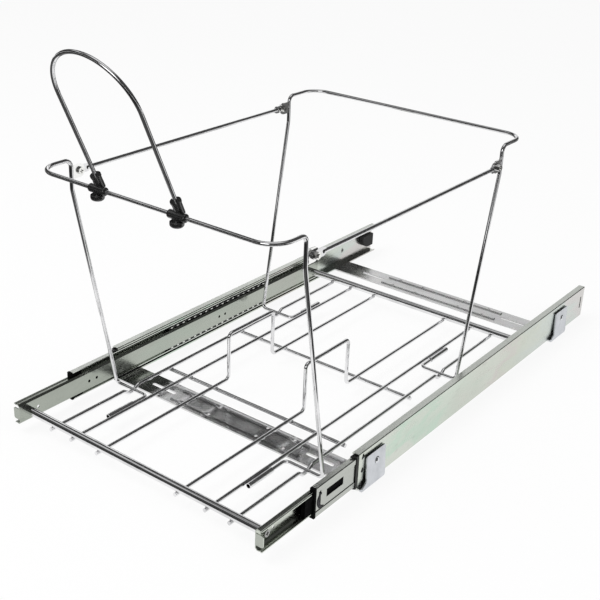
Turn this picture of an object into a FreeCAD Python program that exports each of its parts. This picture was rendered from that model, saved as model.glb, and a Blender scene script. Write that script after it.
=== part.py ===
import FreeCAD, Part
import math
import os
from types import SimpleNamespace

import Sketcher
from FreeCAD import Placement, Rotation, Vector

# A pull-out rack for a waste bin: a wire tray and a wire bin frame on ball-bearing slides.
# X runs across the rack, -Y is the way it pulls out, Z is up from the floor it is screwed to.
# The origin is on the floor, midway between the slides, at the front ends of the outer members.

# Driving sizes in millimetres, each with its alias and its meaning
SIZES = [
    ("overall_width", 368.6, "outside faces of the two outer slide members"),
    ("member_gauge", 1.2, "sheet thickness of the slide members"),
    ("bend_radius", 1.0, "outside radius of the slide members' folds"),
    ("slide_depth", 12.7, "outer member's outside face to the inner member's tray face"),
    ("slide_height", 45.0, "height of an outer member"),
    ("outer_length", 570.0, "length of an outer member"),
    ("outer_flange", 9.2, "width of an outer member's flanges"),
    ("outer_lip", 2.4, "depth of the lip on an outer member's flange"),
    ("end_slot_setback", 7.5, "outer member's front end to its three short slots"),
    ("end_slot_spread", 17.5, "upper and lower short slots from the slide's middle line"),
    ("end_slot_length", 6.0, "length of a short slot"),
    ("end_slot_width", 3.2, "width of a short slot"),
    ("front_hole", 37.0, "outer member's front end to its front round hole"),
    ("rear_hole", 489.0, "outer member's front end to its rear round hole"),
    ("rear_slot_setback", 9.0, "outer member's rear end to its upright slot"),
    ("rear_slot_rise", 1.0, "middle of that slot above the slide's middle line"),
    ("rear_slot_length", 18.0, "length of the rear slot"),
    ("rear_slot_width", 3.0, "width of the rear slot"),
    ("middle_length", 485.0, "length of a middle member"),
    ("middle_reach", 71.9, "how far a middle member stands out of its outer member"),
    ("middle_height", 36.0, "height of a middle member"),
    ("middle_flange", 6.4, "width of a middle member's flanges"),
    ("web_gap", 0.7, "gap between the webs of the outer and middle members"),
    ("recess_height", 21.0, "height of the pressed band along a middle member"),
    ("recess_depth", 0.7, "depth of the pressed band"),
    ("window_setback", 18.7, "middle member's front end to its window"),
    ("window_length", 29.3, "length of that window"),
    ("window_low", 2.2, "window's lower edge below the slide's middle line"),
    ("window_high", 7.3, "window's upper edge above the slide's middle line"),
    ("slit_setback", 7.0, "middle member's front end to its upright slit"),
    ("slit_rise", 1.0, "middle of that slit above the slide's middle line"),
    ("slit_length", 22.5, "length of the slit"),
    ("slit_width", 3.4, "width of the slit"),
    ("inner_length", 563.0, "length of an inner member"),
    ("inner_reach", 155.0, "how far an inner member stands out of its outer member"),
    ("inner_height", 25.2, "height of an inner member over its flanges"),
    ("inner_depth", 8.8, "depth of an inner member from its tray face"),
    ("inner_corner", 2.2, "slant between an inner member's web and flanges"),
    ("tab_depth", 10.0, "depth of the tab across an inner member's front end"),
    ("tab_face", 14.0, "height of that tab"),
    ("inner_hole", 3.7, "diameter of the small holes in an inner member"),
    ("inner_hole_drop", 0.5, "those holes below the slide's middle line"),
    ("inner_first_hole", 26.5, "inner member's front end to its single small hole"),
    ("inner_front_pair", 104.0, "inner member's front end to its front pair of small holes"),
    ("inner_rear_pair", 339.0, "inner member's front end to its rear pair of small holes"),
    ("inner_pair_gap", 12.0, "spacing of the holes in a pair"),
    ("groove_width", 3.0, "width of the ball groove in an inner member's flange"),
    ("groove_depth", 0.6, "depth of that ball groove"),
    ("ball_line", 6.4, "ball centres from the outer member's outside face"),
    ("ball_play", 0.1, "clearance between a ball and its track"),
    ("pocket_play", 0.15, "clearance between a ball and its cage"),
    ("slide_play", 0.3, "clearance between parts that slide past each other"),
    ("inner_ball_pitch", 22.0, "spacing of the balls on an inner member"),
    ("inner_cage_front", 90.0, "front end of an inner cage from the outer member's front"),
    ("inner_cage_length", 198.0, "length of an inner cage"),
    ("cage_thickness", 1.5, "thickness of a ball cage's strips"),
    ("cage_width", 5.6, "width of a ball cage's strips"),
    ("outer_ball_line", 5.4, "outer cage's ball centres from the outer member's outside face"),
    ("outer_strip_reach", 7.6, "outer cage's strips from the outer member's outside face"),
    ("outer_ball_pitch", 24.0, "spacing of the balls in an outer cage"),
    ("outer_cage_reach", 6.0, "how far an outer cage stands out of its outer member"),
    ("outer_cage_length", 300.0, "length of an outer cage"),
    ("block_reach", 16.0, "how far a stop block stands out of its middle member"),
    ("block_length", 68.0, "length of a stop block"),
    ("block_collar", 14.0, "length of a stop block's collar inside the middle member"),
    ("block_neck", 1.2, "thickness of a stop block where it passes the inner member's flange"),
    ("block_cap", 3.0, "thickness of a stop block's cap over the middle member's end"),
    ("bumper_length", 29.0, "length of a rear bumper"),
    ("bumper_height", 26.0, "height of a rear bumper"),
    ("bumper_depth", 8.0, "depth of a rear bumper from the web"),
    ("bumper_inset", 4.0, "rear end of the outer member to the bumper"),
    ("strip_gauge", 2.0, "sheet thickness of a cross member"),
    ("strip_width", 38.5, "width of a cross member"),
    ("front_strip_setback", 3.0, "front of the slides to the front cross member"),
    ("rear_strip_setback", 105.5, "rear of the slides to the rear cross member's front edge"),
    ("bead_reach", 96.0, "half the length of a cross member's beads"),
    ("bead_spacing", 22.0, "distance between a cross member's two beads"),
    ("bead_width", 7.0, "width of a bead at its foot"),
    ("bead_height", 1.6, "height of a bead"),
    ("floor_slot_reach", 119.0, "middle of a floor slot from the middle of the rack"),
    ("floor_slot_length", 38.0, "length of a floor slot"),
    ("floor_slot_width", 5.0, "width of a floor slot"),
    ("near_floor_hole", 36.0, "near small holes from the middle of the rack"),
    ("far_floor_hole", 75.8, "far small holes from the middle of the rack"),
    ("floor_hole", 4.2, "diameter of a cross member's small holes"),
    ("bracket_gap", 2.7, "outer member to its bracket plate"),
    ("bracket_gauge", 1.5, "thickness of a bracket plate"),
    ("bracket_shift", 6.0, "cross member's front edge to the bracket plate's"),
    ("bracket_height", 39.5, "top of a bracket plate above the floor"),
    ("dimple_height", 27.0, "height of the clinch above the floor"),
    ("dimple_setback", 22.0, "clinch from the bracket plate's front edge"),
    ("dimple_width", 7.0, "diameter of the clinch"),
    ("bar_diameter", 9.5, "tray end bars"),
    ("front_bar_setback", 14.0, "front bar from the inner members' front"),
    ("rear_bar_setback", 17.0, "rear bar from the inner members' rear"),
    ("wire_diameter", 4.5, "tray wires and bin frame"),
    ("cross_wire_diameter", 5.0, "tray cross wires"),
    ("weld_gap", 0.02, "gap left between pieces that are welded where they cross"),
    ("wire_stub", 5.0, "tray wires' front ends ahead of the front bar"),
    ("inner_column", 57.9, "inner pair of tray wires from the middle"),
    ("mid_column", 98.6, "middle pair of tray wires from the middle"),
    ("outer_column", 131.0, "outer pair of tray wires from the middle"),
    ("cross_wire_reach", 134.0, "half the length of a cross wire"),
    ("front_cross_wire", 190.0, "front cross wire from the front bar"),
    ("rear_cross_wire", 327.0, "rear cross wire from the front bar"),
    ("saddle_depth", 5.4, "dip of the outer tray wires under the bin frame's feet"),
    ("saddle_floor", 7.0, "flat length at the bottom of a dip"),
    ("saddle_mouth", 23.0, "length of a dip at its top"),
    ("saddle_bend", 4.5, "radius of the dip's bends"),
    ("hump_front", 213.0, "front leg of the hump from the front bar"),
    ("hump_length", 85.0, "length of the hump"),
    ("hump_rise", 61.5, "height of the hump above the tray wires"),
    ("hump_bend", 6.0, "radius of the hump's bends"),
    ("rim_height", 308.5, "bin frame's rim above the floor"),
    ("rim_reach", 157.25, "bin frame's side from the middle"),
    ("rim_front", 118.4, "rim's front ahead of the outer members"),
    ("rim_rear", 357.9, "rim's rear behind the front of the outer members"),
    ("rim_corner", 24.0, "radius of the rim's corners"),
    ("front_arm", 45.0, "rim's front to the front legs"),
    ("rear_arm", 53.3, "rim's rear to the rear legs"),
    ("shoulder_bend", 8.0, "radius where the rim turns down into a leg"),
    ("kink_drop", 33.5, "rim to the kink in a leg"),
    ("kink_bend", 14.0, "radius of that kink"),
    ("foot_reach", 154.6, "feet from the middle"),
    ("front_foot", 22.0, "front feet ahead of the front of the outer members"),
    ("rear_foot", 257.6, "rear feet behind the front of the outer members"),
    ("foot_bend", 6.0, "radius of the feet's bends"),
    ("toe_reach", 104.4, "toes from the middle"),
    ("toe_length", 58.5, "a toe's length past its foot"),
    ("sleeve_diameter", 6.5, "sleeve on a toe"),
    ("sleeve_bore", 4.6, "bore of that sleeve"),
    ("sleeve_length", 39.0, "length of that sleeve"),
    ("sleeve_overhang", 4.0, "sleeve's open end past the wire's end"),
    ("left_rail_drop", 14.5, "rim to the left side rail"),
    ("right_rail_drop", 23.0, "rim to the right side rail"),
    ("pivot_offset", 11.7, "a leg to the side rail's screw"),
    ("tab_gauge", 2.0, "thickness of the tabs and of the side rails' flat ends"),
    ("tab_height", 15.0, "height of a tab"),
    ("tab_reach", 18.0, "length of a tab from its leg"),
    ("eye_width", 9.0, "width of a side rail's flat end"),
    ("eye_length", 12.0, "screw to the start of the round rail"),
    ("pivot_screw", 4.0, "diameter of a side rail's screw"),
    ("screw_play", 0.2, "clearance around a screw's shank"),
    ("screw_head", 8.0, "diameter of the screw heads"),
    ("head_height", 2.6, "height of the screw heads"),
    ("nut_width", 7.0, "nut across its flats"),
    ("nut_height", 3.2, "height of a nut"),
    ("bar_screw", 4.0, "diameter of the screws in the tray bars"),
    ("bar_screw_length", 16.0, "length of those screws under the head"),
    ("recess_drive", 1.2, "depth of the cross slot in a screw head"),
    ("handle_shift", 13.0, "handle's middle left of the rack's middle"),
    ("handle_width", 107.0, "distance between the handle's legs"),
    ("handle_wire", 4.2, "diameter of the handle"),
    ("handle_leg", 112.6, "straight leg of the handle above the rim"),
    ("handle_offset", 4.05, "handle's legs behind the rim"),
    ("handle_seat", 4.0, "lower end of a handle leg above the rim"),
    ("clip_sleeve", 10.0, "diameter of a clip's sleeve"),
    ("clip_height", 15.8, "top of a clip's sleeve above the rim"),
    ("clip_width", 23.0, "width of a clip along the rim"),
    ("clip_collar", 11.2, "diameter of the collar at a sleeve's top"),
    ("clip_barrel", 9.0, "diameter of a clip's barrel around the rim"),
    ("clip_play", 0.06, "clearance between a clip and the rim wire"),
    ("knob_diameter", 14.4, "knob under a clip"),
    ("knob_height", 6.4, "height of that knob"),
    ("knob_lead", 1.0, "knob's axis ahead of the rim"),
    ("knob_drop", 4.6, "top of the knob below the rim"),
    ("neck_diameter", 8.0, "neck between a clip and its knob"),
    ("member_hole", 4.6, "holes in the slide members' webs"),
]

HANDLE_TILT = 24.5

doc = FreeCAD.newDocument("pull_out_bin_rack")
sheet = doc.addObject("Spreadsheet::Sheet", "sizes")


class Size:
    """A length together with the sheet expression that gives it."""

    def __init__(self, value, text):
        self.value = value
        self.text = text

    def __float__(self):
        return self.value

    def __neg__(self):
        return Size(-self.value, f"(-{self.text})")

    def __add__(self, other):
        other = as_size(other)
        return Size(self.value + other.value, f"({self.text} + {other.text})")

    def __sub__(self, other):
        other = as_size(other)
        return Size(self.value - other.value, f"({self.text} - {other.text})")

    def __mul__(self, other):
        other = as_size(other)
        return Size(self.value * other.value, f"({self.text} * {other.text})")

    def __truediv__(self, other):
        other = as_size(other)
        return Size(self.value / other.value, f"({self.text} / {other.text})")

    def __radd__(self, other):
        return as_size(other) + self

    def __rsub__(self, other):
        return as_size(other) - self

    def __rmul__(self, other):
        return as_size(other) * self


def as_size(number):
    if isinstance(number, Size):
        return number
    return Size(float(number), f"({float(number)!r})")


def fill_sheet():
    """Write the driving sizes into the sheet and return them by name."""
    for row, (alias, value, meaning) in enumerate(SIZES, start=1):
        sheet.set(f"A{row}", meaning)
        sheet.set(f"B{row}", str(value))
        sheet.setAlias(f"B{row}", alias)
    doc.recompute()
    return SimpleNamespace(**{
        alias: Size(float(sheet.get(alias)), f"sizes.{alias}") for alias, _, _ in SIZES
    })


dim = fill_sheet()

# Places that several pieces share
half_width = dim.overall_width / 2
slide_floor = dim.strip_gauge
slide_middle = slide_floor + dim.slide_height / 2
middle_face = dim.member_gauge + dim.web_gap
inner_front = -dim.inner_reach
inner_rear = inner_front + dim.inner_length
tray_half = half_width - dim.slide_depth
front_bar_y = inner_front + dim.front_bar_setback
rear_bar_y = inner_rear - dim.rear_bar_setback
wire_z = slide_middle - dim.bar_diameter / 2 - dim.wire_diameter / 2 - dim.weld_gap
cross_wire_z = wire_z - dim.wire_diameter / 2 - dim.cross_wire_diameter / 2 - dim.weld_gap
foot_z = wire_z - dim.saddle_depth + dim.wire_diameter + dim.weld_gap
front_leg_y = dim.front_arm - dim.rim_front
rear_leg_y = dim.rim_rear - dim.rear_arm
front_foot_y = -dim.front_foot
rear_foot_y = dim.rear_foot
front_pivot_y = front_leg_y + dim.pivot_offset
rear_pivot_y = rear_leg_y - dim.pivot_offset
tab_outer_x = dim.rim_reach + dim.tab_gauge / 2
rail_x = tab_outer_x + dim.tab_gauge / 2
inner_ball_radius = (
    dim.middle_height / 2 - dim.member_gauge - dim.inner_height / 2 + dim.groove_depth
) / 2 - dim.groove_depth / 3 - dim.ball_play
inner_ball_v = (
    dim.middle_height / 2 - dim.member_gauge + dim.inner_height / 2 - dim.groove_depth
) / 2
outer_ball_radius = (
    dim.slide_height / 2 - dim.member_gauge - dim.middle_height / 2
) / 2 - dim.ball_play
outer_ball_v = (dim.slide_height / 2 - dim.member_gauge + dim.middle_height / 2) / 2

nodes = []


def node(label, piece):
    """Name a finished sub-part; its label is the name of its file."""
    piece.Label = label
    nodes.append(piece)
    return piece


def bind(piece, path, size):
    piece.setExpression(path, as_size(size).text)


def place(piece, x=0, y=0, z=0):
    bind(piece, "Placement.Base.x", x)
    bind(piece, "Placement.Base.y", y)
    bind(piece, "Placement.Base.z", z)
    return piece


# Bodies and sketches

def new_body(name):
    return doc.addObject("PartDesign::Body", name)


def sketch_on(body, role, offset=None):
    """A sketch on one of the body's own origin planes, moved along its normal by offset."""
    plane = [item for item in body.Origin.OriginFeatures if item.Role == role][0]
    sketch = body.newObject("Sketcher::SketchObject", "Sketch")
    sketch.AttachmentSupport = (plane, "")
    sketch.MapMode = "FlatFace"
    if offset is not None:
        bind(sketch, "AttachmentOffset.Base.z", offset)
    return sketch


def fix_point(sketch, curve, end, x, y):
    """Hold one point of a curve at x, y from the sketch's origin."""
    for kind, size in (("DistanceX", x), ("DistanceY", y)):
        row = sketch.addConstraint(
            Sketcher.Constraint(kind, -1, 1, curve, end, float(size)))
        bind(sketch, f"Constraints[{row}]", size)


def draw_polygon(sketch, points):
    first = sketch.GeometryCount
    corners = [Vector(float(x), float(y), 0) for x, y in points]
    count = len(corners)
    for index, corner in enumerate(corners):
        sketch.addGeometry(Part.LineSegment(corner, corners[(index + 1) % count]), False)
    for index in range(count):
        following = first + (index + 1) % count
        sketch.addConstraint(Sketcher.Constraint("Coincident", first + index, 2, following, 1))
    for index, (x, y) in enumerate(points):
        fix_point(sketch, first + index, 1, x, y)


def draw_box(sketch, x_low, x_high, y_low, y_high):
    draw_polygon(sketch, [(x_low, y_low), (x_high, y_low), (x_high, y_high), (x_low, y_high)])


def draw_circle(sketch, x, y, diameter):
    circle = sketch.addGeometry(
        Part.Circle(Vector(float(x), float(y), 0), Vector(0, 0, 1), float(diameter) / 2), False)
    row = sketch.addConstraint(Sketcher.Constraint("Diameter", circle, float(diameter)))
    bind(sketch, f"Constraints[{row}]", diameter)
    fix_point(sketch, circle, 3, x, y)


def draw_slot(sketch, x, y, length, width, upright=False):
    """A round-ended slot, centred at x, y, running along the sketch's x or upright."""
    radius = float(width) / 2
    reach = (as_size(length) - width) / 2
    if upright:
        ends = [(x, y - reach), (x, y + reach)]
        first_angle = math.pi
    else:
        ends = [(x - reach, y), (x + reach, y)]
        first_angle = math.pi / 2
    arcs = []
    for turn, (end_x, end_y) in enumerate(ends):
        start = first_angle + turn * math.pi
        circle = Part.Circle(Vector(float(end_x), float(end_y), 0), Vector(0, 0, 1), radius)
        arcs.append(sketch.addGeometry(Part.ArcOfCircle(circle, start, start + math.pi), False))
    for this, other in (arcs, arcs[::-1]):
        line = sketch.addGeometry(Part.LineSegment(
            sketch.getPoint(this, 2), sketch.getPoint(other, 1)), False)
        sketch.addConstraint(Sketcher.Constraint("Tangent", this, 2, line, 1))
        sketch.addConstraint(Sketcher.Constraint("Tangent", line, 2, other, 1))
    row = sketch.addConstraint(Sketcher.Constraint("Radius", arcs[0], radius))
    bind(sketch, f"Constraints[{row}]", as_size(width) / 2)
    for arc, (end_x, end_y) in zip(arcs, ends):
        fix_point(sketch, arc, 3, end_x, end_y)


def pad(body, sketch, length, reverse=False, both_ways=False):
    feature = body.newObject("PartDesign::Pad", "Pad")
    feature.Profile = sketch
    bind(feature, "Length", length)
    feature.Reversed = reverse
    if both_ways:
        feature.SideType = "Symmetric"
    doc.recompute()
    return feature


def cut_through(body, sketch):
    """Cut the sketch out of everything along its normal."""
    feature = body.newObject("PartDesign::Pocket", "Pocket")
    feature.Profile = sketch
    feature.Type = "ThroughAll"
    feature.SideType = "Symmetric"
    doc.recompute()
    return feature


def cut_depth(body, sketch, depth, reverse=False):
    feature = body.newObject("PartDesign::Pocket", "Pocket")
    feature.Profile = sketch
    bind(feature, "Length", depth)
    feature.Reversed = reverse
    doc.recompute()
    return feature


def edges_where(shape, chosen):
    return [f"Edge{index}" for index, edge in enumerate(shape.Edges, start=1) if chosen(edge)]


def fillet(body, radius, chosen):
    """Round the edges of the body's last feature that the test chooses."""
    base = body.Tip
    feature = body.newObject("PartDesign::Fillet", "Fillet")
    feature.Base = (base, edges_where(base.Shape, chosen))
    bind(feature, "Radius", radius)
    doc.recompute()
    return feature


def is_line_along(edge, axis):
    """True for a straight edge that runs along the named axis of the body."""
    if edge.Curve.TypeId != "Part::GeomLine":
        return False
    return abs(abs(edge.tangentAt(edge.FirstParameter).dot(axis)) - 1) < 1e-6


def near(value, size):
    return abs(value - float(size)) < 1e-4


AXIS_X = Vector(1, 0, 0)
AXIS_Y = Vector(0, 1, 0)
AXIS_Z = Vector(0, 0, 1)


# Round stock

def rod(name, diameter, length, axis):
    """A cylinder from its local origin along the axis."""
    piece = doc.addObject("Part::Cylinder", name)
    bind(piece, "Radius", as_size(diameter) / 2)
    bind(piece, "Height", length)
    piece.Placement.Rotation = Rotation(AXIS_Z, axis)
    return piece


def ball(name, radius, x, y, z):
    piece = doc.addObject("Part::Sphere", name)
    bind(piece, "Radius", radius)
    return place(piece, x, y, z)


def group(name, pieces):
    """Separate solids that share one node."""
    compound = doc.addObject("Part::Compound", name)
    compound.Links = pieces
    return compound


def fuse(name, pieces):
    joined = doc.addObject("Part::MultiFuse", name)
    joined.Shapes = pieces
    joined.Refine = True
    return joined


def cut(name, base, tool):
    result = doc.addObject("Part::Cut", name)
    result.Base = base
    result.Tool = tool
    return result


def rounded_path(corners, radii):
    """A wire through the corners, each turned with an arc of its own radius."""
    edges = []
    start = corners[0]
    for before, corner, after, radius in zip(corners, corners[1:], corners[2:], radii):
        back = (before - corner).normalize()
        ahead = (after - corner).normalize()
        half_angle = back.getAngle(ahead) / 2
        trim = radius / math.tan(half_angle)
        bisector = (back + ahead).normalize()
        centre = corner + bisector * (radius / math.sin(half_angle))
        leave = corner + back * trim
        join = corner + ahead * trim
        edges.append(Part.LineSegment(start, leave).toShape())
        edges.append(Part.Arc(leave, centre - bisector * radius, join).toShape())
        start = join
    edges.append(Part.LineSegment(start, corners[-1]).toShape())
    return Part.Wire(edges)


def bent_wire(name, corners, radii, diameter):
    """A round wire swept along a path with rounded corners."""
    spine = doc.addObject("Part::Feature", f"{name}_path")
    spine.Shape = rounded_path(corners, radii)
    profile = doc.addObject("Part::Circle", f"{name}_section")
    bind(profile, "Radius", as_size(diameter) / 2)
    profile.Placement = Placement(corners[0], Rotation(AXIS_Z, corners[1] - corners[0]))
    sweep = doc.addObject("Part::Sweep", name)
    sweep.Sections = [profile]
    sweep.Spine = (spine, [f"Edge{index}" for index in range(1, len(spine.Shape.Edges) + 1)])
    sweep.Solid = True
    sweep.Frenet = False
    return sweep


def point(x, y, z):
    return Vector(float(x), float(y), float(z))


# Slides: sections are drawn in the X-Z plane, with local x measured inward from the web's
# outside face and local z from the slide's middle, and run back along Y

def mirrored_section(upper_half, side):
    """Close a section that is the same above and below the slide's middle line."""
    lower_half = [(x, -z) for x, z in reversed(upper_half)]
    return [(-side * x, z) for x, z in upper_half + lower_half]


def run_section(body, points, length):
    sketch = sketch_on(body, "XZ_Plane")
    draw_polygon(sketch, points)
    pad(body, sketch, length, reverse=True)


def outer_member(name, side):
    body = new_body(name)
    gauge = dim.member_gauge
    top = dim.slide_height / 2
    run_section(body, mirrored_section([
        (0, top),
        (dim.outer_flange, top),
        (dim.outer_flange, top - dim.outer_lip),
        (dim.outer_flange - gauge, top - dim.outer_lip),
        (dim.outer_flange - gauge, top - gauge),
        (gauge, top - gauge),
    ], side), dim.outer_length)
    fold_radius = dim.bend_radius
    fillet(body, fold_radius, lambda edge: is_line_along(edge, AXIS_Y)
           and near(abs(edge.Vertexes[0].Z), top))
    holes = sketch_on(body, "YZ_Plane")
    for height in (-dim.end_slot_spread, 0, dim.end_slot_spread):
        draw_slot(holes, dim.end_slot_setback, height,
                  dim.end_slot_length, dim.end_slot_width, upright=True)
    for along in (dim.front_hole, dim.rear_hole):
        draw_circle(holes, along, 0, dim.member_hole)
    draw_slot(holes, dim.outer_length - dim.rear_slot_setback, dim.rear_slot_rise,
              dim.rear_slot_length, dim.rear_slot_width, upright=True)
    cut_through(body, holes)
    return node(name, place(body, side * half_width, 0, slide_middle))


def middle_member(name, side):
    body = new_body(name)
    gauge = dim.member_gauge
    top = dim.middle_height / 2
    band = dim.recess_height / 2
    depth = dim.recess_depth
    slant = depth * 1.5
    run_section(body, mirrored_section([
        (depth, band),
        (0, band + slant),
        (0, top),
        (dim.middle_flange, top),
        (dim.middle_flange, top - gauge),
        (gauge, top - gauge),
        (gauge, band + slant),
        (gauge + depth, band),
    ], side), dim.middle_length)
    fillet(body, dim.bend_radius, lambda edge: is_line_along(edge, AXIS_Y)
           and near(abs(edge.Vertexes[0].Z), top) and near(abs(edge.Vertexes[0].X), 0))
    openings = sketch_on(body, "YZ_Plane")
    draw_box(openings, dim.window_setback, dim.window_setback + dim.window_length,
             -dim.window_low, dim.window_high)
    draw_slot(openings, dim.slit_setback, dim.slit_rise,
              dim.slit_length, dim.slit_width, upright=True)
    cut_through(body, openings)
    x = side * (half_width - middle_face)
    return node(name, place(body, x, -dim.middle_reach, slide_middle))


def inner_member(name, side):
    """The inner member is drawn from its tray face outward."""
    body = new_body(name)
    gauge = dim.member_gauge
    top = dim.inner_height / 2
    web_top = top - dim.inner_corner
    groove = dim.slide_depth - dim.ball_line
    near_side = groove - dim.groove_width / 2
    far_side = groove + dim.groove_width / 2
    run_section(body, mirrored_section([
        (0, web_top),
        (dim.inner_corner, top),
        (near_side, top),
        (groove, top - dim.groove_depth),
        (far_side, top),
        (dim.inner_depth, top),
        (dim.inner_depth, top - gauge),
        (far_side, top - gauge),
        (groove, top - gauge - dim.groove_depth),
        (near_side, top - gauge),
        (dim.inner_corner + gauge / 2, top - gauge),
        (gauge, web_top - gauge / 2),
    ], -side), dim.inner_length)
    end_tab = sketch_on(body, "XZ_Plane")
    tab_edges = [side * (gauge / 2), side * dim.tab_depth][::side]
    draw_box(end_tab, *tab_edges, -dim.tab_face / 2, dim.tab_face / 2)
    pad(body, end_tab, gauge, reverse=True)
    corner_radius = dim.bend_radius * 2
    fillet(body, corner_radius, lambda edge: is_line_along(edge, AXIS_Y)
           and near(abs(edge.Vertexes[0].X), dim.tab_depth))
    holes = sketch_on(body, "YZ_Plane")
    for along in (dim.front_bar_setback, dim.inner_length - dim.rear_bar_setback):
        draw_circle(holes, along, 0, dim.bar_screw + 2 * dim.screw_play)
    draw_circle(holes, dim.inner_first_hole, -dim.inner_hole_drop, dim.inner_hole)
    for along in (dim.inner_front_pair, dim.inner_rear_pair):
        for gap in (0, dim.inner_pair_gap):
            draw_circle(holes, along + gap, -dim.inner_hole_drop, dim.inner_hole)
    cut_through(body, holes)
    return node(name, place(body, side * tray_half, inner_front, slide_middle))


def ball_row(name, side, count, pitch, radius, first_y, v):
    x = side * (half_width - dim.ball_line)
    return [
        ball(f"{name}_ball", radius, x, first_y + pitch * index, slide_middle + v)
        for index in range(count)
    ]


def cage_strip(name, side, v, front, length, count, pitch, radius):
    """A flat strip with a round pocket for each ball."""
    body = new_body(f"{name}_strip")
    outline = sketch_on(body, "XY_Plane")
    half = dim.cage_width / 2
    draw_box(outline, -half, half, 0, length)
    pad(body, outline, dim.cage_thickness, both_ways=True)
    pockets = sketch_on(body, "XY_Plane")
    for index in range(count):
        draw_circle(pockets, 0, pitch * (index + 0.5), 2 * (radius + dim.pocket_play))
    cut_through(body, pockets)
    return place(body, side * (half_width - dim.ball_line), front, slide_middle + v)


def inner_cage(name, side):
    pitch = dim.inner_ball_pitch
    count = int(float(dim.inner_cage_length) / float(pitch))
    pieces = []
    for v in (-inner_ball_v, inner_ball_v):
        pieces.append(cage_strip(name, side, v, dim.inner_cage_front, dim.inner_cage_length,
                                 count, pitch, inner_ball_radius))
        pieces += ball_row(name, side, count, pitch, inner_ball_radius,
                           dim.inner_cage_front + pitch / 2, v)
    return node(name, group(name, pieces))


def outer_cage(name, side):
    """Two strips joined by a plate that lies in the middle member's pressed band."""
    pitch = dim.outer_ball_pitch
    front = -dim.outer_cage_reach
    count = int(float(dim.outer_cage_length) / float(pitch))
    body = new_body(f"{name}_body")
    thin = dim.member_gauge + dim.web_gap - dim.slide_play
    thick = thin + dim.recess_depth
    strip_low = outer_ball_v - dim.cage_thickness / 2
    strip_high = outer_ball_v + dim.cage_thickness / 2
    band = dim.recess_height / 2 - dim.recess_depth
    run_section(body, mirrored_section([
        (dim.member_gauge, strip_high),
        (dim.outer_strip_reach, strip_high),
        (dim.outer_strip_reach, strip_low),
        (thin, strip_low),
        (thin, band),
        (thick, band),
    ], side), dim.outer_cage_length)
    pockets = sketch_on(body, "XY_Plane")
    for index in range(count):
        draw_circle(pockets, -side * dim.outer_ball_line, pitch * (index + 0.5),
                    2 * (outer_ball_radius + dim.pocket_play))
    cut_through(body, pockets)
    place(body, side * half_width, front, slide_middle)
    pieces = [body]
    for v in (-outer_ball_v, outer_ball_v):
        for index in range(count):
            pieces.append(ball(f"{name}_ball", outer_ball_radius,
                               side * (half_width - dim.outer_ball_line),
                               front + pitch * (index + 0.5), slide_middle + v))
    return node(name, group(name, pieces))


def stop_block(name, side):
    """A plastic block at the middle member's front, inside the inner member's channel."""
    body = new_body(name)
    back = dim.member_gauge
    recess_back = back + dim.recess_depth
    channel_face = (dim.slide_depth - middle_face - dim.member_gauge - dim.head_height
                    - dim.slide_play)
    channel_top = dim.inner_height / 2 - dim.member_gauge - dim.groove_depth - dim.slide_play
    core_edges = [-side * channel_face, -side * recess_back][::side]
    core = sketch_on(body, "XZ_Plane")
    draw_box(core, *core_edges, -channel_top, channel_top)
    pad(body, core, dim.block_length, reverse=True)
    flange_side = dim.slide_depth - dim.inner_depth - middle_face - dim.slide_play
    flange_top = dim.inner_height / 2 + dim.slide_play
    neck_side = flange_side + dim.block_neck
    neck_top = dim.inner_height / 2 - dim.member_gauge - dim.slide_play
    neck = [(flange_side, flange_top), (flange_side, neck_top), (neck_side, neck_top)]
    member_top = dim.middle_height / 2 - dim.member_gauge
    collar_edge = dim.middle_flange - dim.slide_play
    band = dim.recess_height / 2
    slant = dim.recess_depth * 1.5
    collar_section = [
        (recess_back, band - slant),
        (recess_back, band),
        (back, band + slant),
        (back, member_top),
        (collar_edge, member_top),
        (collar_edge, flange_top),
    ] + neck + [(neck_side, band - slant)]
    collar = sketch_on(body, "XZ_Plane", -dim.block_reach)
    for sign in (-1, 1):
        draw_polygon(collar, [(-side * x, sign * z) for x, z in collar_section])
    pad(body, collar, dim.block_collar, reverse=True)
    cap_top = dim.middle_height / 2
    cap = sketch_on(body, "XZ_Plane", dim.block_cap - dim.block_reach)
    draw_polygon(cap, mirrored_section([
        (0, cap_top),
        (dim.middle_flange, cap_top),
        (dim.middle_flange, flange_top),
    ] + neck, side))
    pad(body, cap, dim.block_cap, reverse=True)
    x = side * (half_width - middle_face)
    return node(name, place(body, x, -dim.middle_reach - dim.block_reach, slide_middle))


def rear_bumper(name, side):
    """A rubber block on the outer member's web that the inner member closes against."""
    body = new_body(name)
    outline = sketch_on(body, "YZ_Plane")
    half = dim.bumper_height / 2
    slope = dim.bumper_length / 4
    draw_polygon(outline, [
        (0, -half + slope),
        (slope, -half),
        (dim.bumper_length - slope, -half),
        (dim.bumper_length, -half + slope),
        (dim.bumper_length, half),
        (0, half),
    ])
    pad(body, outline, dim.bumper_depth, reverse=side > 0)
    corner_radius = dim.bend_radius * 2
    fillet(body, corner_radius, lambda edge: is_line_along(edge, AXIS_X))
    front = dim.outer_length - dim.bumper_inset - dim.bumper_length
    return node(name, place(body, side * (half_width - dim.member_gauge), front, slide_middle))


def slides():
    for label, side in (("left", -1), ("right", 1)):
        outer_member(f"slide_outer_{label}", side)
        middle_member(f"slide_middle_{label}", side)
        inner_member(f"slide_inner_{label}", side)
        outer_cage(f"ball_cage_outer_{label}", side)
        inner_cage(f"ball_cage_inner_{label}", side)
        stop_block(f"stop_block_{label}", side)
        rear_bumper(f"rear_bumper_{label}", side)


# Cross members: stamped strips under both slides, with a bracket plate up each outside face

def draw_ridge(sketch, y, foot, crest, low, high):
    draw_polygon(sketch, [(y - foot / 2, low), (y + foot / 2, low),
                          (y + crest / 2, high), (y - crest / 2, high)])


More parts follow.
